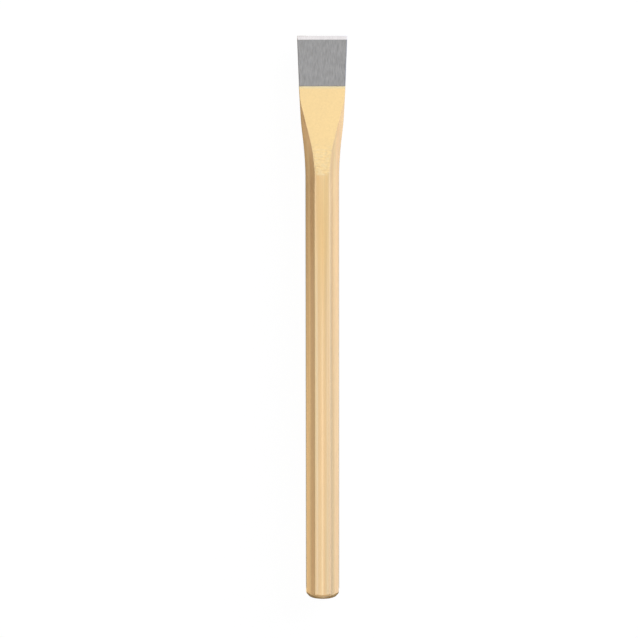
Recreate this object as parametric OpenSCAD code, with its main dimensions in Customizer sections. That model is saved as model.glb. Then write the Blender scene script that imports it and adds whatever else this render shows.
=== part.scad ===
// Flat cold chisel, lying on one flat of its octagonal shaft.
// Lengths run along +Y to the cutting edge, the blade is widest along X, and +Z is up.
// The origin is under the middle of the chisel, on the surface that it lies on.

/* [Forging] */
// Length from the striking end to the cutting edge
forging_length = 300; // [240:1:360]

/* [Shaft] */
// Width of the octagonal shaft across two flats
shaft_flats = 17.4; // [16:0.1:18.4]
// Width of the rounded land along each corner of the octagon
corner_land = 0.7; // [0.3:0.1:2]
// Slope at which that land runs out into the neck, in degrees
corner_runout = 8; // [7:0.5:20]

/* [Blade, seen from the front] */
// Width of the cutting edge
edge_width = 26; // [24.6:0.1:32]
// Width of the blade where the grinding starts
ground_width = 24; // [23:0.1:24.6]
// Width at the knee, where the forged flare turns into the straight blade
knee_width = 21.7; // [21.2:0.1:22.4]
// Distance of the knee from the cutting edge
knee_setback = 47; // [40:0.5:54]
// Distance from the cutting edge at which the flare leaves the shaft
flare_setback = 73.5; // [68:0.5:90]
// Angle at which the flare leaves the shaft, in degrees
flare_break = 0.8; // [0.4:0.1:1]

/* [Blade, seen from the side] */
// Distance from the cutting edge at which the forged wedge starts
wedge_setback = 71.5; // [64:0.5:84]
// Angle of the break between the shaft's flat and the wedge, in degrees
wedge_break = 2; // [0.5:0.5:4]
// Length over which the wedge keeps close to that angle
neck_run = 28; // [18:1:30]
// Length over which the wedge swings into the line of the ground blade
blade_run = 14; // [8:1:18]
// Length of the blade that is ground to bare steel
ground_length = 25.9; // [20:0.1:32]
// Thickness of the blade where the grinding starts
ground_thickness = 6; // [5:0.1:8]
// Length of the cutting bevel
bevel_length = 1.8; // [1:0.1:4]
// Thickness of the blade where the bevel starts
bevel_thickness = 2.4; // [1.6:0.1:4]
// Thickness left along the cutting edge
edge_flat = 0.2; // [0.1:0.05:0.5]

/* [Striking end] */
// Radius of the crown that the hammer meets
crown_r = 24; // [14:1:40]
// Diameter of the crown inside its chamfer
crown_d = 14; // [11:0.5:15]
// Angle of the chamfer round the crown to the axis, in degrees
head_chamfer = 43; // [30:1:50]

/* [Coat] */
// Thickness of the lacquer film
film = 0.1; // [0.08:0.01:0.3]

/* [Hidden] */

$fn = 96;
wedge_steps = 24;

steel_grey = [0.62, 0.62, 0.62];
lacquer_gold = [0.86, 0.71, 0.47];

shaft_half = shaft_flats / 2;
// Angle between neighbouring flats of the octagon
flat_turn = 360 / 8;
// Half the width of one flat between sharp corners
flat_half = shaft_half * tan(flat_turn / 2);
// Radius over the rounded lands
corner_r = norm([shaft_half, flat_half - corner_land / 2 / cos(flat_turn / 2)]);
knee_z = forging_length - knee_setback;
flare_z = forging_length - flare_setback;
wedge_z = forging_length - wedge_setback;
ground_z = forging_length - ground_length;
bevel_z = forging_length - bevel_length;
crown_height = crown_r - sqrt(crown_r * crown_r - crown_d * crown_d / 4);
// Depth of the stock that the outlines are cut through
stock = 2 * (edge_width + shaft_flats);
// Height of the shaft's axis over the surface that the coat rests on
axis_height = shaft_half + film;
// Middle of the coated length, from the bare striking end
middle = (forging_length - film) / 2;

// Half-width of the slanted pair of flats, measured square to them, where the blade's half-width is w
function slant_half(w) = (w + flat_half) / sqrt(2);

// Radius of an arc that leaves a line at an angle and is off it by rise after run
function arc_radius(run, rise, angle) =
    (run * run + rise * rise) / (2 * (rise * cos(angle) - run * sin(angle)));

// Point at t along the cubic curve through four control points
function curve_point(t, p) =
    pow(1 - t, 3) * p[0] + 3 * pow(1 - t, 2) * t * p[1] + 3 * (1 - t) * t * t * p[2] + pow(t, 3) * p[3];

// Control points of the forged wedge: half-thickness and distance from the striking end
ground_slope = (ground_thickness - bevel_thickness) / 2 / (ground_length - bevel_length);
wedge_curve = [
    [shaft_half, wedge_z],
    [shaft_half - neck_run * tan(wedge_break), wedge_z + neck_run],
    [ground_thickness / 2 + blade_run * ground_slope, ground_z - blade_run],
    [ground_thickness / 2, ground_z],
];

// Half-thickness along the chisel, from the striking end to the cutting edge, grown by the film
function thickness_side(grow) = [
    [shaft_half + grow, -stock],
    for (i = [0 : wedge_steps]) curve_point(i / wedge_steps, wedge_curve) + [grow, 0],
    [bevel_thickness / 2 + grow, bevel_z],
    [edge_flat / 2 + grow, forging_length],
];

function mirrored(points) = [for (i = [len(points) - 1 : -1 : 0]) [-points[i].x, points[i].y]];

// Outline with a straight shaft, a concave flare that leaves it at an angle, and a widening blade
// that widens less from the ground line on
module flared_outline(knee, ground, edge, angle, grow) {
    flare_r = arc_radius(flare_setback - knee_setback, knee - shaft_half, angle);
    // Level at which the flare's circle comes closest to the axis, just inside the shaft
    flare_foot = flare_z - flare_r * sin(angle);
    blade_slope = (ground - knee) / (knee_setback - ground_length);
    foot_half = knee - blade_slope * (knee_z - flare_foot) + grow;
    translate([-shaft_half - grow, -stock])
        square([2 * (shaft_half + grow), knee_z + stock]);
    difference() {
        polygon([
            [-foot_half, flare_foot],
            [foot_half, flare_foot],
            [ground + grow, ground_z],
            [edge + grow, forging_length],
            [-edge - grow, forging_length],
            [-ground - grow, ground_z],
        ]);
        for (side = [-1, 1])
            translate([side * (shaft_half + flare_r * cos(angle)), flare_foot])
                circle(r = flare_r - grow);
    }
}

module width_outline(grow) {
    flared_outline(knee_width / 2, ground_width / 2, edge_width / 2, flare_break, grow);
}

module slant_outline(grow) {
    slant_break = atan(tan(flare_break) / sqrt(2));
    flared_outline(
        slant_half(knee_width / 2),
        slant_half(ground_width / 2),
        slant_half(edge_width / 2),
        slant_break,
        grow
    );
}

module thickness_outline(grow) {
    side = thickness_side(grow);
    polygon(concat(side, mirrored(side)));
}

// Stock cut through along one outline, which is turned about the chisel's axis
module cut_through(turn) {
    rotate([90, 0, turn])
        linear_extrude(height = stock, center = true)
            children();
}

// Turned limits of the form: crown, chamfer, rounded corners and the way these run out at the neck
module turned_limits(grow) {
    chamfer_slope = tan(head_chamfer);
    // Radius of the chamfer's cone at the foot of the crown
    chamfer_foot = crown_d / 2 - (crown_height + grow) * chamfer_slope + grow / cos(head_chamfer);
    chamfer_top = (corner_r + grow - chamfer_foot) / chamfer_slope - grow;
    neck_r = corner_r + grow + (flare_setback + stock) * tan(corner_runout);
    rotate_extrude()
        difference() {
            polygon([
                [0, -grow],
                [chamfer_foot, -grow],
                [corner_r + grow, chamfer_top],
                [corner_r + grow, flare_z],
                [neck_r, forging_length + stock],
                [0, forging_length + stock],
            ]);
            difference() {
                translate([-crown_d, -crown_r])
                    square([2 * crown_d, 2 * crown_r]);
                translate([0, crown_r])
                    circle(r = crown_r + grow);
            }
        }
}

// The chisel upright on its striking end, grown all round by the film
module forged_form(grow) {
    intersection() {
        cut_through(0) width_outline(grow);
        cut_through(90) thickness_outline(grow);
        cut_through(flat_turn) slant_outline(grow);
        cut_through(-flat_turn) slant_outline(grow);
        turned_limits(grow);
    }
}

// Everything below the line where the grinding starts
module coated_length() {
    translate([-stock / 2, -stock / 2, -stock])
        cube([stock, stock, ground_z + stock]);
}

// Lays the upright chisel on one flat of its shaft
module lay_down() {
    translate([0, -middle, axis_height])
        rotate([-90, 0, 0])
            children();
}

module chisel_forging() {
    color(steel_grey)
        lay_down()
            forged_form(0);
}

module lacquer_coat() {
    color(lacquer_gold)
        lay_down()
            difference() {
                intersection() {
                    forged_form(film);
                    coated_length();
                }
                forged_form(0);
            }
}

chisel_forging();
lacquer_coat();
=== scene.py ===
"""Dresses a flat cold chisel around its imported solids: forged steel, gold lacquer and a studio stage.

Run as a script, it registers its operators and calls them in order.
"""

import math

import bpy
import numpy as np
from bpy.props import FloatProperty, FloatVectorProperty, PointerProperty
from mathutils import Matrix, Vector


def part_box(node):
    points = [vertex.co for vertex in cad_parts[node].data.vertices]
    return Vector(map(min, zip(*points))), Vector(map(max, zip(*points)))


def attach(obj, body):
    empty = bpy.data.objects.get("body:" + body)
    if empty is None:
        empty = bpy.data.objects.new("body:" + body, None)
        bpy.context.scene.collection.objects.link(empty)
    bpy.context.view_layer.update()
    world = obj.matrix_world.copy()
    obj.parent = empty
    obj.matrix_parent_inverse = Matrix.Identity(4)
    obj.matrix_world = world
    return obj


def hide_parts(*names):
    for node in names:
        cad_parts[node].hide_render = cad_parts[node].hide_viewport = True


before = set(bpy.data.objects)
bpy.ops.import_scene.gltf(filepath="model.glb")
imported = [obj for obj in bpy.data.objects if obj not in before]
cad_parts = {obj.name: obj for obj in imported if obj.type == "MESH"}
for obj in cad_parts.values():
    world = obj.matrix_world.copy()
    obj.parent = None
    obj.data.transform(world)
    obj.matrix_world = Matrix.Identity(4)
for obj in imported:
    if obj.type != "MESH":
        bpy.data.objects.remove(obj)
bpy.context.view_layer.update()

bl_info = {
    "name": "Flat cold chisel",
    "version": (1, 0, 0),
    "blender": (4, 5, 0),
    "location": "View3D > Sidebar > Chisel",
    "description": "Builds a lacquered flat cold chisel and the studio it is shown in",
    "category": "Add Mesh",
}

FORGING_LOW, FORGING_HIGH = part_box("chisel_forging")
COAT_LOW, COAT_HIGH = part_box("lacquer_coat")

MM = 0.001
AXIS_HEIGHT = (FORGING_LOW.z + FORGING_HIGH.z) / 2

# The octagon: its sides, the angle between two of them, and the points of a ring on each side and corner
SIDES = 8
TURN = 2 * math.pi / SIDES
SIDE_POINTS = 13
CORNER_POINTS = 4

# Roundings where two forms of the surface meet
KNEE_BLEND = 0.5 * MM
SLANT_BLEND = 0.3 * MM
RIM_BLEND = 0.6 * MM
HEAD_BLEND = 0.7 * MM

# Distances from the cutting edge at which the ripples set in and reach their full depth
RIPPLES_NONE = 52 * MM
RIPPLES_FULL = 59 * MM
# Distance from it at which the close rings that carry the ripples end
RIPPLE_RINGS = 50 * MM
# Distances from it at which the corners are still the neck's, and from which on they are the shaft's
NECK_CORNERS = 58 * MM
PLAIN_SHAFT = 80 * MM
# Distances from it at which the flats start to be crowned, and from which on they have their full crown
FLAT_BLADE = 40 * MM
CROWNED_SHAFT = 78 * MM

# Distance from the bare striking end up to which its rings are close together
HEAD_RINGS = 7 * MM
# Distance from the ground line over which its traces on lacquer and steel fade
LINE_RUN = 1.8 * MM
# Stretch over which the lacquer's lip rounds off
LIP_RUN = 0.25 * MM


class ChiselShape(bpy.types.PropertyGroup):
    """Sizes of the bare forging and of the film on it."""

    length: FloatProperty(
        name="Length",
        description="Bare steel from the striking end to the cutting edge",
        default=FORGING_HIGH.y - FORGING_LOW.y,
        unit="LENGTH",
    )
    shaft_flats: FloatProperty(
        name="Shaft",
        description="Bare octagonal shaft across two flats",
        default=FORGING_HIGH.z - FORGING_LOW.z,
        unit="LENGTH",
    )
    edge_width: FloatProperty(
        name="Edge width",
        description="Width of the cutting edge",
        default=FORGING_HIGH.x - FORGING_LOW.x,
        unit="LENGTH",
    )
    ground_width: FloatProperty(
        name="Ground width",
        description="Width of the blade where the grinding starts",
        default=24 * MM,
        unit="LENGTH",
    )
    knee_width: FloatProperty(
        name="Knee width",
        description="Width where the forged flare turns into the straight blade",
        default=21.7 * MM,
        unit="LENGTH",
    )
    knee_setback: FloatProperty(
        name="Knee",
        description="Distance of the knee from the cutting edge",
        default=47 * MM,
        unit="LENGTH",
    )
    flare_setback: FloatProperty(
        name="Flare",
        description="Distance from the cutting edge at which the flare leaves the shaft",
        default=73.5 * MM,
        unit="LENGTH",
    )
    flare_break: FloatProperty(
        name="Flare break",
        description="Angle at which the flare leaves the shaft",
        default=math.radians(0.8),
        subtype="ANGLE",
    )
    wedge_setback: FloatProperty(
        name="Wedge",
        description="Distance from the cutting edge at which the forged wedge starts",
        default=71.5 * MM,
        unit="LENGTH",
    )
    wedge_break: FloatProperty(
        name="Wedge break",
        description="Angle between the shaft's flat and the start of the wedge",
        default=math.radians(2),
        subtype="ANGLE",
    )
    neck_run: FloatProperty(
        name="Neck run",
        description="Length over which the wedge keeps close to that angle",
        default=28 * MM,
        unit="LENGTH",
    )
    blade_run: FloatProperty(
        name="Blade run",
        description="Length over which the wedge swings into the line of the ground blade",
        default=14 * MM,
        unit="LENGTH",
    )
    ground_length: FloatProperty(
        name="Ground length",
        description="Length of the blade that is ground to bare steel",
        default=FORGING_HIGH.y - COAT_HIGH.y,
        unit="LENGTH",
    )
    ground_thickness: FloatProperty(
        name="Ground thickness",
        description="Thickness of the blade where the grinding starts",
        default=6 * MM,
        unit="LENGTH",
    )
    bevel_length: FloatProperty(
        name="Bevel length",
        description="Length of the cutting bevel",
        default=1.8 * MM,
        unit="LENGTH",
    )
    bevel_thickness: FloatProperty(
        name="Bevel thickness",
        description="Thickness of the blade where the bevel starts",
        default=2.4 * MM,
        unit="LENGTH",
    )
    edge_flat: FloatProperty(
        name="Edge flat",
        description="Thickness left along the cutting edge",
        default=0.2 * MM,
        unit="LENGTH",
    )
    crown_radius: FloatProperty(
        name="Crown radius",
        description="Radius of the crown that the hammer meets",
        default=24 * MM,
        unit="LENGTH",
    )
    crown_width: FloatProperty(
        name="Crown width",
        description="Diameter of the crown inside its chamfer",
        default=14 * MM,
        unit="LENGTH",
    )
    head_chamfer: FloatProperty(
        name="Head chamfer",
        description="Angle of the chamfer round the crown to the axis",
        default=math.radians(43),
        subtype="ANGLE",
    )
    film: FloatProperty(
        name="Film",
        description="Thickness of the lacquer film",
        default=FORGING_LOW.z - COAT_LOW.z,
        unit="LENGTH",
    )
    corner_radius: FloatProperty(
        name="Corner radius",
        description="Rounding of the shaft's eight corners",
        default=1.8 * MM,
        unit="LENGTH",
    )
    flat_crown: FloatProperty(
        name="Flat crown",
        description="Angle by which each rolled flat has turned away where it reaches its corner",
        default=math.radians(6),
        subtype="ANGLE",
    )
    forge_depth: FloatProperty(
        name="Forge marks",
        description="Depth of the cross ripples that forging leaves on the wedge",
        default=0.045 * MM,
        unit="LENGTH",
    )


class ChiselFinish(bpy.types.PropertyGroup):
    """Colours of the chisel's finishes and of the stage."""

    lacquer: FloatVectorProperty(
        name="Lacquer",
        description="Body colour of the gold lacquer",
        default=(0.85, 0.56, 0.22),
        subtype="COLOR",
        min=0.0,
        max=1.0,
    )
    ground_steel: FloatVectorProperty(
        name="Ground steel",
        description="Colour of the bare ground blade",
        default=(0.291, 0.288, 0.304),
        subtype="COLOR",
        min=0.0,
        max=1.0,
    )
    honed_steel: FloatVectorProperty(
        name="Honed steel",
        description="Colour of the bright cutting bevel",
        default=(0.835, 0.803, 0.813),
        subtype="COLOR",
        min=0.0,
        max=1.0,
    )
    floor: FloatVectorProperty(
        name="Floor",
        description="Colour of the studio floor",
        default=(0.9, 0.9, 0.9),
        subtype="COLOR",
        min=0.0,
        max=1.0,
    )


def smooth_min(a, b, reach):
    """The smaller of a and b, less (reach - |a - b|)^2 / (4 reach) where they are closer than reach."""
    overlap = np.maximum(reach - np.abs(a - b), 0.0)
    return np.minimum(a, b) - overlap * overlap / (4.0 * reach)


def ease(x, low, high):
    """Smooth step from 0 at low to 1 at high: t * t * (3 - 2 t)."""
    t = np.clip((x - low) / (high - low), 0.0, 1.0)
    return t * t * (3.0 - 2.0 * t)


def half_width(shape, setback):
    """Half the width at a distance from the edge: the lower of the blade's line and the flare.

    The blade's line falls from the edge to the ground line and a little faster from there through the
    knee. The flare leaves the shaft with a small slope and rises as a parabola to the knee.
    """
    shaft = shape.shaft_flats / 2
    edge = shape.edge_width / 2
    ground = shape.ground_width / 2
    knee = shape.knee_width / 2
    run = np.maximum(shape.flare_setback - setback, 0.0)
    full_run = shape.flare_setback - shape.knee_setback
    fall = (ground - knee) / (shape.knee_setback - shape.ground_length)
    blade = np.interp(
        setback,
        [0.0, shape.ground_length, shape.knee_setback, shape.flare_setback],
        [edge, ground, knee, knee - fall * full_run],
    )
    slope = math.tan(shape.flare_break)
    flare = shaft + slope * run + (knee - shaft - slope * full_run) * (run / full_run) ** 2
    return smooth_min(blade, flare, KNEE_BLEND)


def half_thickness(shape, setback):
    """Half the thickness at a distance from the edge.

    A cubic curve leads from the shaft's flat, at the break angle, into the line of the ground blade. The
    ground blade tapers straight to the bevel, and the bevel straight to the flat of the cutting edge.
    """
    shaft = shape.shaft_flats / 2
    ground = shape.ground_thickness / 2
    bevel = shape.bevel_thickness / 2
    taper = (ground - bevel) / (shape.ground_length - shape.bevel_length)
    controls = np.array(
        [
            [shape.ground_length, ground],
            [shape.ground_length + shape.blade_run, ground + shape.blade_run * taper],
            [
                shape.wedge_setback - shape.neck_run,
                shaft - shape.neck_run * math.tan(shape.wedge_break),
            ],
            [shape.wedge_setback, shaft],
        ]
    )
    t = np.linspace(0.0, 1.0, 241)[:, None]
    weights = np.hstack([(1 - t) ** 3, 3 * t * (1 - t) ** 2, 3 * t * t * (1 - t), t**3])
    curve = weights @ controls
    along = np.concatenate([[0.0, shape.bevel_length], curve[:, 0], [2 * shape.length]])
    half = np.concatenate([[shape.edge_flat / 2, bevel], curve[:, 1], [shaft]])
    return np.interp(setback, along, half)


def head_radius(shape, from_head, film):
    """Radius of the turned striking end: the lower of a crown's arc and a chamfer's cone, blended."""
    crown = shape.crown_radius
    rim = shape.crown_width / 2
    height = crown - math.sqrt(crown * crown - rim * rim)
    dome = np.sqrt(np.maximum((crown + film) ** 2 - np.clip(crown - from_head, 0.0, None) ** 2, 0.0))
    slope = math.tan(shape.head_chamfer)
    cone = rim + (from_head - height) * slope + film / math.cos(shape.head_chamfer)
    return smooth_min(dome, cone, RIM_BLEND)


def crowned_octagons(reach, rounding, crown):
    """Rings of octagons with rounded corners and slightly crowned sides, one for each row of reach.

    reach holds the distances of the eight sides from the axis. Each side is moved in by the corner
    radius and by its own crown, and neighbouring sides then meet in a corner point. Between its corner
    points a side is a flat parabola whose ends have turned away by the crown angle, pushed out by the
    corner radius along its own normal; an arc of that radius about each corner point joins the normals
    of the two sides there. Returns the points and the outward directions, and marks the corners' points.
    """
    angle = TURN * np.arange(SIDES)
    cosine = math.cos(TURN)
    sine = math.sin(TURN)

    def spans(inset):
        after = (np.roll(inset, -1, axis=1) - inset * cosine) / sine
        before = (np.roll(inset, 1, axis=1) - inset * cosine) / sine
        return before, after

    inset = reach - rounding[:, None]
    before, after = spans(inset)
    bulge = np.maximum(before + after, 0.0) * np.tan(crown) / 4
    inset = inset - bulge
    before, after = spans(inset)

    f = np.linspace(-1.0, 1.0, SIDE_POINTS)
    tilt = angle[None, :, None] + crown[:, :, None] * f
    along = (after - before)[:, :, None] / 2 + (after + before)[:, :, None] / 2 * f
    out = inset[:, :, None] + bulge[:, :, None] * (1.0 - f * f)
    cos_a = np.cos(angle)[None, :, None]
    sin_a = np.sin(angle)[None, :, None]
    radius = rounding[:, None, None]
    side_x = out * cos_a - along * sin_a + radius * np.cos(tilt)
    side_z = out * sin_a + along * cos_a + radius * np.sin(tilt)

    g = np.arange(1, CORNER_POINTS + 1) / (CORNER_POINTS + 1)
    turn_from = angle[None, :] + crown
    turn_to = angle[None, :] + TURN - np.roll(crown, -1, axis=1)
    turn = turn_from[:, :, None] + (turn_to - turn_from)[:, :, None] * g
    corner_x = (inset * np.cos(angle) - after * np.sin(angle))[:, :, None] + radius * np.cos(turn)
    corner_z = (inset * np.sin(angle) + after * np.cos(angle))[:, :, None] + radius * np.sin(turn)

    rings = len(reach)
    start = -(SIDE_POINTS // 2)
    x = np.roll(np.concatenate([side_x, corner_x], axis=2).reshape(rings, -1), start, axis=1)
    z = np.roll(np.concatenate([side_z, corner_z], axis=2).reshape(rings, -1), start, axis=1)
    direction = np.roll(np.concatenate([tilt, turn], axis=2).reshape(rings, -1), start, axis=1)
    on_corner = np.concatenate([np.zeros(SIDE_POINTS), np.ones(CORNER_POINTS)])
    corner = np.roll(np.tile(on_corner, SIDES), start)
    return x, z, direction, np.broadcast_to(corner, x.shape)


def forge_marks(shape, setback, x):
    """Shallow relief that forging leaves on the wedge: bowed cross ripples near the neck over low waves.

    The ripples are a sine along the blade whose phase bows with the square of the distance from the
    middle and wanders with two slower sines; a third sine lets them come and go. The waves are the
    product of a long sine along the blade and one across it. Returns the ripples from -1 to 1, how far
    they have set in from 0 to 1, and the relief.
    """
    along = setback / MM
    across = x / MM
    pitch = 1.8
    bowed = along + 0.08 * across**2
    wander = 1.6 * np.sin(1.9 * across + 0.45 * along) + 1.3 * np.sin(2.7 * across - 0.8 * along + 1.0)
    patches = 0.7 + 0.3 * np.sin(0.9 * across + 0.62 * along)
    ripple = patches * np.sin(2 * math.pi * bowed / pitch + wander)
    waves = np.sin(along * 0.71 + 1.3 + 0.25 * across) * np.sin(across * 0.53 + 0.7 - 0.12 * along)
    short_run = 1 * MM
    long_run = 6 * MM
    from_shaft = shape.wedge_setback - setback
    neck = ease(setback, RIPPLES_NONE, RIPPLES_FULL) * ease(from_shaft, 0.0, short_run)
    from_line = setback - shape.ground_length
    blade = ease(from_line, 0.0, long_run) * ease(from_shaft, 0.0, long_run)
    relief = shape.forge_depth * (ripple * neck + 0.4 * waves * blade)
    return ripple, neck, relief


def corner_rounding(shape, setback, thick):
    """Radius of the corners, straight from mark to mark: keen at the edge, roundest on the shaft."""
    lip_end = shape.ground_length + 4 * MM
    marks = [0.0, shape.bevel_length, shape.ground_length, lip_end, NECK_CORNERS, PLAIN_SHAFT]
    radii = [0.05 * MM, 0.1 * MM, 0.18 * MM, 0.4 * MM, 0.55 * MM, shape.corner_radius]
    return np.minimum(np.interp(setback, marks, radii), 0.4 * thick)


def chisel_skin(shape, from_head, film):
    """Rings of the chisel's surface at distances from the bare striking end, each grown by its own film.

    A ring is a crowned octagon whose eight distances come from the half-width, the half-thickness and
    the slanted flats between them; near the striking end its radius is held under the turned crown and
    chamfer. Returns the points, and masks for the corners, the hammered skin of the wedge, the ripples
    on it, their crests and the ground line.
    """
    setback = shape.length - from_head
    wide = half_width(shape, setback) + film
    thick = half_thickness(shape, setback) + film
    flat_half = shape.shaft_flats / 2 * math.tan(TURN / 2)
    least = np.minimum(0.2 * MM, 0.2 * thick)
    slant = smooth_min(
        (wide - film + flat_half) / math.sqrt(2) + film,
        (wide + thick) / math.sqrt(2) - least,
        SLANT_BLEND,
    )
    reach = np.stack([wide, slant, thick, slant, wide, slant, thick, slant], axis=1)
    marks = [shape.ground_length, FLAT_BLADE, NECK_CORNERS, CROWNED_SHAFT]
    bow = np.interp(setback, marks, [0.0, 0.08, 0.35, 1.0])
    crown = np.repeat((shape.flat_crown * bow)[:, None], SIDES, axis=1)
    x, z, direction, corner = crowned_octagons(reach, corner_rounding(shape, setback, thick), crown)

    hammered = ease(np.abs(np.sin(direction)), 0.8, 0.95)
    ripple, neck, relief = forge_marks(shape, setback[:, None], x)
    depth = hammered * relief
    x = x + depth * np.cos(direction)
    z = z + depth * np.sin(direction)

    radius = np.hypot(x, z)
    limit = head_radius(shape, from_head, film)[:, None]
    held = smooth_min(radius, np.minimum(limit, 1.0), HEAD_BLEND)
    held = np.where(limit < 0.6 * radius, limit, held)
    x = x * held / radius
    z = z * held / radius

    y = FORGING_LOW.y + np.broadcast_to(from_head[:, None], x.shape)
    points = np.stack([x, y, z + AXIS_HEIGHT], axis=2)
    wedge = ease(shape.wedge_setback - setback, -1 * MM, 1 * MM)
    line = ease(-np.abs(setback - shape.ground_length), -LINE_RUN, 0.0)
    masks = {
        "corner": corner,
        "forged": hammered * wedge[:, None],
        "rippled": hammered * neck,
        "crest": hammered * neck * ripple,
        "line": np.broadcast_to(line[:, None], x.shape),
    }
    return points, masks


def head_stations(shape, film):
    """Ring distances over the striking end: even steps of radius on the crown, then of length."""
    crown = shape.crown_radius
    r = np.linspace(0.5 * MM, shape.crown_width / 2, 14)
    dome = crown - np.sqrt((crown + film) ** 2 - r * r)
    rest = np.linspace(dome[-1], HEAD_RINGS, 46)[1:]
    return np.concatenate([dome, rest])


def body_stations(shape):
    """Ring distances from there to the ground line: long steps on the shaft, short ones on the wedge."""
    neck = shape.length - PLAIN_SHAFT
    wedge = shape.length - shape.wedge_setback
    rippled = shape.length - RIPPLE_RINGS
    before_line = shape.length - shape.ground_length - 0.4 * MM
    shaft = np.linspace(HEAD_RINGS, neck, 54)[1:]
    flare = np.linspace(neck, wedge, 14)[1:]
    ripples = np.linspace(wedge, rippled, 100)[1:]
    blade = np.linspace(rippled, before_line, 50)[1:]
    return np.concatenate([shaft, flare, ripples, blade])


def tube_faces(rings, ring_points):
    """Quads between neighbouring rings of a closed tube, with outward faces for rings that follow +Y."""
    i = np.arange(rings - 1)[:, None] * ring_points
    j = np.arange(ring_points)[None, :]
    k = (j + 1) % ring_points
    quads = np.stack([i + j, i + ring_points + j, i + ring_points + k, i + k], axis=2)
    return quads.reshape(-1, 4)


def make_object(name, vertices, faces, masks, materials, material_of_face):
    """New smooth-shaded object from arrays of vertices and faces, with an attribute for each mask."""
    mesh = bpy.data.meshes.new(name)
    mesh.from_pydata(vertices.tolist(), [], faces)
    mesh.polygons.foreach_set("use_smooth", np.ones(len(faces), dtype=bool))
    for material in materials:
        mesh.materials.append(material)
    mesh.polygons.foreach_set("material_index", material_of_face.astype(np.int32))
    for mask, values in masks.items():
        attribute = mesh.attributes.new(mask, "FLOAT", "POINT")
        attribute.data.foreach_set("value", values.astype(np.float32))
    mesh.update()
    if mesh.validate():
        raise RuntimeError(f"the mesh of {name} had faces that had to be dropped")
    piece = bpy.data.objects.new(name, mesh)
    bpy.context.scene.collection.objects.link(piece)
    return piece


def node_with(tree, kind, sockets=(), **settings):
    """Adds a shader node, sets its options and fills its inputs with values or links from outputs."""
    node = tree.nodes.new(kind)
    for option, value in settings.items():
        setattr(node, option, value)
    for socket, value in dict(sockets).items():
        if isinstance(value, bpy.types.NodeSocket):
            tree.links.new(value, node.inputs[socket])
        else:
            node.inputs[socket].default_value = value
    return node


def object_place(tree):
    """Object coordinates, which are the frame's own metres."""
    return node_with(tree, "ShaderNodeTexCoord").outputs["Object"]


def stretched_noise(tree, scale, detail=2.0, roughness=0.5):
    """Noise from 0 to 1 over Object coordinates; scale is the cells per metre along each axis."""
    mapping = node_with(tree, "ShaderNodeMapping", {"Vector": object_place(tree), "Scale": scale})
    noise = node_with(
        tree,
        "ShaderNodeTexNoise",
        {"Vector": mapping.outputs["Vector"], "Scale": 1.0, "Detail": detail, "Roughness": roughness},
    )
    return noise.outputs["Fac"]


def spread(tree, value, low, high, from_low=0.25, from_high=0.75):
    """Maps a noise value to a range from low to high."""
    node = node_with(
        tree,
        "ShaderNodeMapRange",
        {"Value": value, "From Min": from_low, "From Max": from_high, "To Min": low, "To Max": high},
    )
    return node.outputs["Result"]


def times(tree, a, b):
    """Product of two values."""
    return node_with(tree, "ShaderNodeMath", {0: a, 1: b}, operation="MULTIPLY").outputs["Value"]


def plus(tree, a, b):
    """Sum of two values."""
    return node_with(tree, "ShaderNodeMath", {0: a, 1: b}, operation="ADD").outputs["Value"]


def toned(tree, colour, factor):
    """A colour with its brightness multiplied by a value."""
    scale = node_with(tree, "ShaderNodeVectorMath", {0: colour, "Scale": factor}, operation="SCALE")
    return scale.outputs["Vector"]


def mask_value(tree, name):
    """Value of one of the piece's own masks."""
    return node_with(tree, "ShaderNodeAttribute", attribute_name=name).outputs["Fac"]


def empty_material(name):
    """New node material without a node in it."""
    material = bpy.data.materials.new(name)
    material.use_nodes = True
    material.node_tree.nodes.clear()
    return material, material.node_tree


def surface(tree, shader_output):
    """Gives the material's output its surface."""
    node_with(tree, "ShaderNodeOutputMaterial", {"Surface": shader_output})


def new_material(name):
    """New node material whose Principled shader is already its surface."""
    material, tree = empty_material(name)
    shader = node_with(tree, "ShaderNodeBsdfPrincipled")
    surface(tree, shader.outputs["BSDF"])
    return material, tree, shader


def bend_normals(tree, shader, height, sockets=("Normal",)):
    """Bends the shader's normals by a height in metres."""
    bump = node_with(tree, "ShaderNodeBump", {"Height": height, "Distance": 1.0, "Strength": 1.0})
    for socket in sockets:
        tree.links.new(bump.outputs["Normal"], shader.inputs[socket])


def between(tree, factor, first, second):
    """A colour that runs from the first to the second as the factor goes from 0 to 1."""
    mix = node_with(tree, "ShaderNodeMix", {"Factor": factor, 4: first, 5: second}, data_type="VECTOR")
    return mix.outputs[1]


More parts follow.
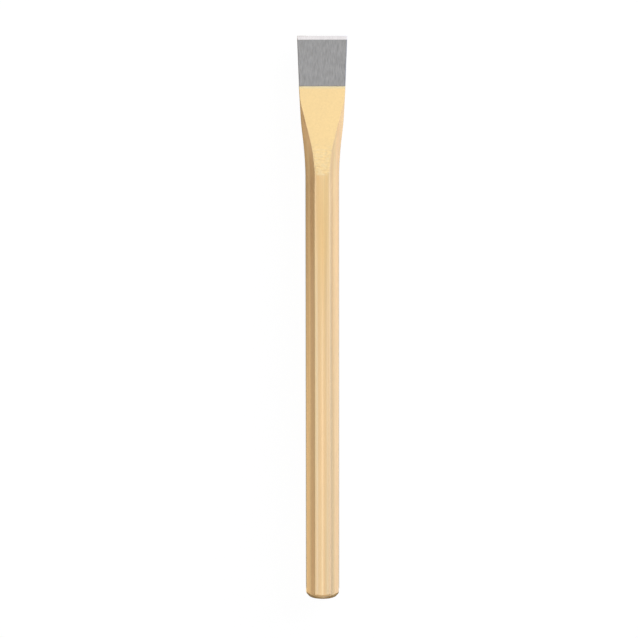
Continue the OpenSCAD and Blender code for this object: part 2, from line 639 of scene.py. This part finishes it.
def lacquer_material(finish):
    """Satin gold lacquer: warm and cool streaks along the bar, flakes, a hammered grain, painted shade in
    the ripples' valleys, a thin lip.
    """
    material, tree, shader = new_material("satin_gold")
    forged = mask_value(tree, "forged")
    gold = np.array(finish.lacquer)
    warm = tuple(gold * (1.045, 0.965, 0.92))
    cool = tuple(gold * (0.965, 1.015, 1.07))
    even = tuple(gold * (0.985, 1.012, 0.99))
    thin = tuple(gold * (0.83, 1.04, 1.44))
    rolled = spread(tree, forged, 1.0, 0.1, 0.0, 1.0)
    hue = spread(tree, stretched_noise(tree, (620, 6, 620), 2.0), 0.0, 1.0, 0.3, 0.7)
    colour = between(tree, forged, between(tree, hue, warm, cool), even)
    colour = between(tree, mask_value(tree, "line"), colour, thin)
    streaks = spread(tree, stretched_noise(tree, (1000, 8, 1000), 3.0), -0.09, 0.09)
    clouds = spread(tree, stretched_noise(tree, (70, 45, 70), 3.0), 0.98, 1.02)
    flakes = node_with(tree, "ShaderNodeTexVoronoi", {"Vector": object_place(tree), "Scale": 2600.0})
    flake = node_with(tree, "ShaderNodeSeparateColor", {"Color": flakes.outputs["Color"]})
    sparkle = spread(tree, flake.outputs["Red"], 0.985, 1.015, 0.0, 1.0)
    rippled = mask_value(tree, "rippled")
    grain = spread(tree, stretched_noise(tree, (900, 900, 900), 2.0), -0.05, 0.05)
    pits = spread(tree, stretched_noise(tree, (760, 860, 760), 1.0), -0.09, 0.09)
    pitted = times(tree, pits, rippled)
    # Painted shade of the forged ripples: 3 % lighter on their crests and darker in their valleys
    ripple_shade = times(tree, mask_value(tree, "crest"), 0.03)
    brightness = plus(tree, times(tree, streaks, rolled), times(tree, grain, forged))
    brightness = plus(tree, brightness, plus(tree, pitted, ripple_shade))
    brightness = times(tree, plus(tree, brightness, 1.0), times(tree, clouds, sparkle))
    tree.links.new(toned(tree, colour, brightness), shader.inputs["Base Color"])
    satin = spread(tree, flake.outputs["Green"], 0.15, 0.19, 0.0, 1.0)
    tree.links.new(satin, shader.inputs["Roughness"])
    shader.inputs["Metallic"].default_value = 0.4
    shader.inputs["IOR"].default_value = 1.8
    shader.inputs["Coat Weight"].default_value = 1.0
    shader.inputs["Coat IOR"].default_value = 1.9
    shader.inputs["Coat Roughness"].default_value = 0.08
    peel = times(tree, stretched_noise(tree, (520, 420, 520), 1.0), 0.002 * MM)
    depth = plus(tree, times(tree, forged, 0.005 * MM), times(tree, rippled, 0.01 * MM))
    skin = times(tree, stretched_noise(tree, (600, 700, 600), 2.0), depth)
    bend_normals(tree, shader, plus(tree, peel, skin), ("Normal", "Coat Normal"))
    return material


def ground_steel_material(finish):
    """Bare steel, ground lengthwise: scratches of two sizes, darker at its corners, and a painted shadow
    of the lacquer's lip at the paint line.
    """
    material, tree, shader = new_material("ground_steel")
    scratches = stretched_noise(tree, (2600, 130, 2600), 2.0, 0.6)
    marks = stretched_noise(tree, (1400, 300, 1400), 2.0)
    shade = times(tree, spread(tree, scratches, 0.84, 1.16), spread(tree, marks, 0.86, 1.14))
    edge = spread(tree, mask_value(tree, "corner"), 1.0, 0.86, 0.0, 1.0)
    steel = np.array(finish.ground_steel)
    # Darker, browner steel next to the paint line: painted shadow of the lacquer's lip
    lip_shadow = tuple(steel * (0.9, 0.82, 0.76))
    line = spread(tree, mask_value(tree, "line"), 0.0, 1.0, 0.6, 1.0)
    colour = toned(tree, between(tree, line, tuple(steel), lip_shadow), times(tree, shade, edge))
    tree.links.new(colour, shader.inputs["Base Color"])
    tree.links.new(spread(tree, scratches, 0.34, 0.46), shader.inputs["Roughness"])
    shader.inputs["Metallic"].default_value = 1.0
    bend_normals(tree, shader, times(tree, scratches, 0.004 * MM))
    return material


def honed_steel_material(finish):
    """Bright cutting bevel, honed across its width in fine lines, with faint pulls towards the edge."""
    material, tree, shader = new_material("honed_steel")
    lines = stretched_noise(tree, (400, 9000, 9000), 2.0, 0.6)
    pulls = spread(tree, stretched_noise(tree, (900, 60, 60), 2.0), 0.94, 1.06)
    colour = toned(tree, tuple(finish.honed_steel), times(tree, pulls, spread(tree, lines, 0.98, 1.02)))
    tree.links.new(colour, shader.inputs["Base Color"])
    tree.links.new(spread(tree, lines, 0.18, 0.28), shader.inputs["Roughness"])
    shader.inputs["Metallic"].default_value = 1.0
    bend_normals(tree, shader, times(tree, lines, 0.0008 * MM))
    return material


class CHISEL_OT_forging(bpy.types.Operator):
    """Build the bare steel forging, from its domed striking end to its cutting edge"""

    bl_idname = "chisel.forging"
    bl_label = "Forging"

    def execute(self, context):
        shape = context.scene.chisel_shape
        finish = context.scene.chisel_finish
        bevel = shape.length - shape.bevel_length
        line = shape.length - shape.ground_length
        ground = np.linspace(line, bevel - 0.06 * MM, 18)
        crease = np.array([-0.02, 0.02, 0.08]) * MM
        honed = bevel + np.concatenate([crease, shape.bevel_length * np.linspace(0.2, 1.0, 5)])
        stations = np.concatenate([head_stations(shape, 0.0), body_stations(shape), ground, honed])
        points, masks = chisel_skin(shape, stations, np.zeros(len(stations)))
        rings, count = points.shape[:2]
        pole = np.array([[0.0, FORGING_LOW.y, AXIS_HEIGHT]])
        vertices = np.concatenate([points.reshape(-1, 3), pole])
        quads = tube_faces(rings, count)
        j = np.arange(count)
        crown = np.stack([np.full(count, rings * count), j, (j + 1) % count], axis=1)
        last = (rings - 1) * count
        k = np.arange(1, count // 2 - 1)
        edge = last + np.stack([k + 1, k, count - k, count - k - 1], axis=1)
        half = count // 2
        tips = last + np.array([[1, 0, count - 1], [half, half - 1, half + 1]])
        faces = quads.tolist() + edge.tolist() + crown.tolist() + tips.tolist()
        first_honed = (rings - len(honed) + 1) * count
        honed_quads = np.arange(len(quads)) >= first_honed
        material_of_face = np.concatenate(
            [honed_quads, np.ones(len(edge)), np.zeros(len(crown)), np.ones(len(tips))]
        )
        masks = {name: np.append(mask.ravel(), 0.0) for name, mask in masks.items()}
        materials = [ground_steel_material(finish), honed_steel_material(finish)]
        piece = make_object("steel_forging", vertices, faces, masks, materials, material_of_face)
        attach(piece, "root")
        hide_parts("chisel_forging")
        return {"FINISHED"}


class CHISEL_OT_coat(bpy.types.Operator):
    """Lay the lacquer over the forging, from the crown to a rounded lip at the ground line"""

    bl_idname = "chisel.coat"
    bl_label = "Coat"

    def execute(self, context):
        shape = context.scene.chisel_shape
        finish = context.scene.chisel_finish
        line = shape.length - shape.ground_length
        ahead = LIP_RUN * np.array([1.0, 0.8, 0.56, 0.32, 0.16, 0.06, 0.0])
        body = np.concatenate([head_stations(shape, shape.film), body_stations(shape)])
        outer = np.concatenate([body, line - ahead])
        lip = shape.film * np.sqrt(np.maximum(1.0 - (1.0 - ahead / LIP_RUN) ** 2, 0.0))
        film = np.concatenate([np.full(len(body), shape.film), lip])
        inner = np.concatenate([head_stations(shape, 0.0), body_stations(shape)])[::-1]
        outside, outside_masks = chisel_skin(shape, outer, film)
        inside, inside_masks = chisel_skin(shape, inner, np.zeros(len(inner)))
        points = np.concatenate([outside, inside])
        rings, count = points.shape[:2]
        poles = np.array([[0.0, COAT_LOW.y, AXIS_HEIGHT], [0.0, FORGING_LOW.y, AXIS_HEIGHT]])
        vertices = np.concatenate([points.reshape(-1, 3), poles])
        quads = tube_faces(rings, count)
        j = np.arange(count)
        k = (j + 1) % count
        crown = np.stack([np.full(count, rings * count), j, k], axis=1)
        last = (rings - 1) * count
        seat = np.stack([np.full(count, rings * count + 1), last + k, last + j], axis=1)
        faces = quads.tolist() + crown.tolist() + seat.tolist()
        masks = {
            name: np.concatenate([mask.ravel(), inside_masks[name].ravel(), [0.0, 0.0]])
            for name, mask in outside_masks.items()
        }
        materials = [lacquer_material(finish)]
        piece = make_object("gold_coat", vertices, faces, masks, materials, np.zeros(len(faces)))
        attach(piece, "root")
        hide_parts("lacquer_coat")
        return {"FINISHED"}


def seen_as_background(tree):
    """1 for rays from the camera, from glossy surfaces and through clear ones, and 0 for the rest."""
    path = node_with(tree, "ShaderNodeLightPath")
    seen = node_with(
        tree,
        "ShaderNodeMath",
        {0: path.outputs["Is Camera Ray"], 1: path.outputs["Is Glossy Ray"]},
        operation="MAXIMUM",
    )
    seen = node_with(
        tree,
        "ShaderNodeMath",
        {0: seen.outputs["Value"], 1: path.outputs["Is Transmission Ray"]},
        operation="MAXIMUM",
    )
    return seen.outputs["Value"]


def stage_plane(name, corners, material, camera_sees=False):
    """A flat stage card from its corners; one that the camera doesn't see shows in reflections alone."""
    mesh = bpy.data.meshes.new(name)
    mesh.from_pydata(corners, [], [tuple(range(len(corners)))])
    mesh.materials.append(material)
    card = bpy.data.objects.new(name, mesh)
    card.visible_camera = camera_sees
    card.visible_diffuse = camera_sees
    card.visible_shadow = camera_sees
    bpy.context.scene.collection.objects.link(card)
    return card


def lying(left, right, near, far, height):
    """Corners of a card that lies level and faces up, or down where left and right are exchanged."""
    return [(left, near, height), (right, near, height), (right, far, height), (left, far, height)]


def standing(start, end, low, high):
    """Corners of a card that stands upright on the line from one point of the floor to another."""
    return [(*start, low), (*end, low), (*end, high), (*start, high)]


def floor_material(finish):
    """White floor that keeps a soft part of the chisel's shadow and fades to plain white further out."""
    material, tree = empty_material("studio_floor")
    paint = node_with(tree, "ShaderNodeBsdfDiffuse", {"Color": (*finish.floor, 1.0)})
    glow = node_with(tree, "ShaderNodeEmission", {"Color": (1, 1, 1, 1), "Strength": 1.04})
    away = node_with(tree, "ShaderNodeVectorMath", {0: object_place(tree)}, operation="LENGTH")
    white = spread(tree, away.outputs["Value"], 0.92, 1.0, 0.16, 0.5)
    share = times(tree, seen_as_background(tree), white)
    mix = node_with(
        tree,
        "ShaderNodeMixShader",
        {0: share, 1: paint.outputs["BSDF"], 2: glow.outputs["Emission"]},
    )
    surface(tree, mix.outputs["Shader"])
    return material


def card_material(name, tint, blade_tint=None, change=(0.0, 1.0)):
    """Evenly lit studio card in its own tint, with a faint mottle.

    With a second tint, it runs from the first to that one over a stretch along +Y.
    """
    material, tree = empty_material(name)
    mottle = spread(tree, stretched_noise(tree, (40, 40, 40), 3.0), 0.97, 1.03)
    colour = tint
    if blade_tint:
        place = node_with(tree, "ShaderNodeSeparateXYZ", {"Vector": object_place(tree)})
        share = spread(tree, place.outputs["Y"], 0.0, 1.0, *change)
        colour = between(tree, share, tint, blade_tint)
    card = node_with(tree, "ShaderNodeEmission", {"Color": toned(tree, colour, mottle), "Strength": 1.0})
    surface(tree, card.outputs["Emission"])
    return material


def faded_material(name, tint, centre, full, gone):
    """Tint of a card that fades with the distance from a point: whole up to full, clear from gone on."""
    material, tree = empty_material(name)
    ends = {0: object_place(tree), 1: centre}
    away = node_with(tree, "ShaderNodeVectorMath", ends, operation="DISTANCE")
    fade = node_with(
        tree,
        "ShaderNodeMapRange",
        {"Value": away.outputs["Value"], "From Min": full, "From Max": gone},
        interpolation_type="SMOOTHSTEP",
    )
    paint = node_with(tree, "ShaderNodeEmission", {"Color": (*tint, 1.0)})
    clear = node_with(tree, "ShaderNodeBsdfTransparent")
    mix = node_with(
        tree,
        "ShaderNodeMixShader",
        {0: fade.outputs["Result"], 1: paint.outputs["Emission"], 2: clear.outputs["BSDF"]},
    )
    surface(tree, mix.outputs["Shader"])
    return material


def set_cards():
    """Cards round, over and beside the chisel, which give each of its flats and ends its own tone; the
    dark ones beside the shaft and in front of the head are painted shadow, seen only in reflections.
    """
    side = 1.2
    depth = 1.5
    left_near = (-side, -depth)
    left_far = (-side, depth)
    right_near = (side, -depth)
    right_far = (side, depth)
    stage_plane(
        "left_card",
        standing(left_near, left_far, 0.0, 0.38),
        card_material("umber_card", (0.375, 0.263, 0.192), (0.38, 0.29, 0.26), (-0.32, -0.16)),
    )
    stage_plane(
        "right_card",
        standing(right_far, right_near, 0.07, 0.25),
        card_material("cool_card", (0.57, 0.67, 0.9), (1.0, 1.05, 1.2), (-0.165, -0.13)),
    )
    stage_plane(
        "left_upper",
        standing(left_near, left_far, 0.38, 1.4),
        card_material("white_card", (1.3, 1.32, 1.28)),
    )
    stage_plane(
        "right_upper",
        standing(right_far, right_near, 0.25, 1.2),
        card_material("sky_card", (1.02, 1.1, 1.38)),
    )
    before_wall = side - 0.01
    stage_plane(
        "right_end",
        standing((before_wall, -0.75), (before_wall, -depth), 0.0, 1.2),
        card_material("brown_card", (0.2, 0.17, 0.14)),
    )
    stage_plane(
        "near_card",
        standing(right_near, left_near, 0.0, 0.5),
        card_material("grey_card", (0.5, 0.46, 0.41)),
    )
    stage_plane(
        "back_card",
        standing((-1.6, 0.6), (-0.5, 1.7), 0.0, 1.3),
        card_material("stone_card", (0.5, 0.46, 0.42)),
    )
    stage_plane(
        "brow_card",
        standing(right_near, left_near, 0.5, 2.6),
        card_material("fawn_card", (0.72, 0.58, 0.46)),
    )

    sheet = 0.5 * MM
    shade = 1.5 * MM
    foot = 8.8 * MM
    shade_reach = 22 * MM
    shade_near = -147 * MM
    shade_far = 120 * MM
    stage_plane(
        "left_sheet",
        lying(-side, -foot, -depth, depth, sheet),
        card_material("honey_sheet", (1.07, 0.91, 0.68), (0.48, 0.4, 0.33), (-0.08, 0.06)),
    )
    stage_plane(
        "right_sheet",
        lying(foot, side, -depth, depth, sheet),
        card_material("pearl_sheet", (1.05, 1.08, 1.23), (0.97, 0.99, 1.14), (0.0, 0.06)),
    )
    # Dark sheets beside the shaft, seen only in reflections: painted contact shadow of the chisel on the
    # floor
    stage_plane(
        "left_shade",
        lying(-shade_reach, -foot, shade_near, shade_far, shade),
        card_material("left_contact_shadow", (0.34, 0.35, 0.31)),
    )
    stage_plane(
        "right_shade",
        lying(foot, shade_reach, shade_near, shade_far, shade),
        card_material("right_contact_shadow", (0.52, 0.53, 0.52)),
    )
    # Dark card on the floor in front of the head, seen only in reflections: painted shadow of the head on
    # the floor, darkest near the crown and fading outwards
    half_shadow_card = [(0.35, -0.5, shade), (0.35, -0.245, shade), (0.011, -0.151, shade)]
    other_half = [(-x, y, z) for x, y, z in reversed(half_shadow_card)]
    stage_plane(
        "head_shadow_card",
        half_shadow_card + other_half,
        faded_material("painted_head_shadow", (0.15, 0.12, 0.09), (0.0, -0.16, 0.0), 0.02, 0.19),
    )

    scrim = 2.2
    under_scrim = scrim - 0.01
    stage_plane(
        "top_scrim",
        lying(0.6, -0.6, -0.7, 0.9, scrim),
        card_material("ivory_scrim", (1.0, 1.0, 1.0), (0.99, 0.98, 0.82), (-0.47, -0.4)),
    )
    stage_plane(
        "neck_strip",
        lying(0.3, -0.3, -0.41, -0.08, under_scrim),
        card_material("amber_strip", (1.05, 0.74, 0.48), (1.0, 1.2, 1.3), (-0.36, -0.28)),
    )


def soft_box(name, place, aim, width, height, radiance, colour=(1.0, 1.0, 1.0), mirrored=True):
    """Area lamp of pi * area * radiance that faces a point; reflections show it if mirrored."""
    lamp = bpy.data.lights.new(name, "AREA")
    lamp.color = colour
    lamp.shape = "RECTANGLE"
    lamp.size = width
    lamp.size_y = height
    lamp.energy = math.pi * width * height * radiance
    holder = bpy.data.objects.new(name, lamp)
    holder.location = place
    direction = np.array(aim) - np.array(place)
    direction = direction / np.linalg.norm(direction)
    holder.rotation_euler = (
        math.acos(-direction[2]),
        0.0,
        math.atan2(-direction[0], direction[1]),
    )
    holder.visible_glossy = mirrored
    bpy.context.scene.collection.objects.link(holder)
    return holder


def hanging_box(name, place, width, height, radiance, colour=(1.0, 1.0, 1.0)):
    """Soft box that hangs over the floor and faces straight down."""
    return soft_box(name, place, (place[0], place[1], 0), width, height, radiance, colour)


def on_dome(azimuth, elevation, distance):
    """Point at a distance from the origin, at degrees of azimuth from +X towards +Y and of elevation."""
    around = math.radians(azimuth)
    up = math.radians(elevation)
    level = math.cos(up)
    return distance * np.array([level * math.cos(around), level * math.sin(around), math.sin(up)])


def set_lamps():
    """Large soft boxes round the chisel, and small tinted ones over its length."""
    middle = (0, 0, 0)
    soft_box("key_box", on_dome(42, 23, 1.3), middle, 1.1, 0.85, 4.6, mirrored=False)
    soft_box("left_box", on_dome(180, 65, 1.5), middle, 0.9, 0.5, 1.1, mirrored=False)
    soft_box("blade_box", on_dome(90, 82, 1.7), middle, 0.9, 0.8, 0.4)
    soft_box("head_box", on_dome(270, 55, 1.6), middle, 0.9, 0.6, 1.1, mirrored=False)
    hanging_box("strip_box", (0, -0.66, 2.0), 0.12, 0.5, 0.8)
    hanging_box("tail_box", (0, -0.33, 2.0), 0.12, 0.16, 0.32, (1.0, 0.74, 0.5))
    soft_box("low_box", (-1.15, -0.45, 0.13), (0, -0.45, 0.13), 0.5, 0.26, 0.25)
    hanging_box("left_strip", (-0.47, -0.49, 1.6), 0.36, 0.4, 0.75, (0.31, 0.6, 1.0))
    hanging_box("warm_strip", (-0.15, -0.36, 1.6), 0.18, 0.5, 0.13, (1.0, 0.65, 0.45))
    hanging_box("right_strip", (0.44, -0.49, 1.6), 0.38, 0.4, 0.5, (0.27, 0.55, 1.0))


def set_world(scene):
    """Faint even light from the air, which the camera and gloss see as plain white."""
    world = bpy.data.worlds.new("studio_air")
    scene.world = world
    world.use_nodes = True
    tree = world.node_tree
    tree.nodes.clear()
    air = node_with(tree, "ShaderNodeBackground", {"Color": (1, 1, 1, 1), "Strength": 0.3})
    white = node_with(tree, "ShaderNodeBackground", {"Color": (1, 1, 1, 1), "Strength": 1.0})
    mix = node_with(
        tree,
        "ShaderNodeMixShader",
        {0: seen_as_background(tree), 1: air.outputs["Background"], 2: white.outputs["Background"]},
    )
    node_with(tree, "ShaderNodeOutputWorld", {"Surface": mix.outputs["Shader"]})


def set_camera(scene):
    """Long lens over the lying chisel, tilted off square to it and turned slightly in the picture."""
    tilt = math.radians(12)
    turn = math.radians(-0.06)
    distance = 3.0
    aim = np.array([-1.77, 0.97, 12.0]) * MM
    lean = math.sin(tilt)
    back = np.array([-math.sin(turn) * lean, math.cos(turn) * lean, math.cos(tilt)])
    camera = bpy.data.cameras.new("photo_camera")
    camera.lens = 324.16
    camera.sensor_width = 36
    camera.clip_end = 20
    holder = bpy.data.objects.new("photo_camera", camera)
    holder.location = aim + distance * back
    holder.rotation_euler = (-tilt, 0.0, turn)
    scene.collection.objects.link(holder)
    scene.camera = holder


class CHISEL_OT_stage(bpy.types.Operator):
    """Set up the white floor, the studio's lamps and cards, the world and the camera"""

    bl_idname = "chisel.stage"
    bl_label = "Stage"

    def execute(self, context):
        scene = context.scene
        scene.view_settings.view_transform = "Standard"
        reach = 6.0
        stage_plane(
            "studio_floor",
            lying(-reach, reach, -reach, reach, 0.0),
            floor_material(scene.chisel_finish),
            camera_sees=True,
        )
        set_cards()
        set_lamps()
        set_world(scene)
        set_camera(scene)
        return {"FINISHED"}


class CHISEL_PT_panel(bpy.types.Panel):
    """Lists the chisel's pieces and the stage"""

    bl_idname = "CHISEL_PT_panel"
    bl_label = "Flat cold chisel"
    bl_space_type = "VIEW_3D"
    bl_region_type = "UI"
    bl_category = "Chisel"

    def draw(self, context):
        column = self.layout.column(align=True)
        for piece in (CHISEL_OT_forging, CHISEL_OT_coat, CHISEL_OT_stage):
            column.operator(piece.bl_idname)


CLASSES = (
    ChiselShape,
    ChiselFinish,
    CHISEL_OT_forging,
    CHISEL_OT_coat,
    CHISEL_OT_stage,
    CHISEL_PT_panel,
)


def register():
    """Registers the classes and hangs the settings on the scene."""
    for cls in CLASSES:
        bpy.utils.register_class(cls)
    bpy.types.Scene.chisel_shape = PointerProperty(type=ChiselShape)
    bpy.types.Scene.chisel_finish = PointerProperty(type=ChiselFinish)


def unregister():
    """Takes the settings and the classes away again."""
    del bpy.types.Scene.chisel_finish
    del bpy.types.Scene.chisel_shape
    for cls in reversed(CLASSES):
        bpy.utils.unregister_class(cls)


def main():
    """Registers the add-on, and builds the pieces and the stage."""
    register()
    bpy.ops.chisel.forging()
    bpy.ops.chisel.coat()
    bpy.ops.chisel.stage()


if __name__ == "__main__":
    main()
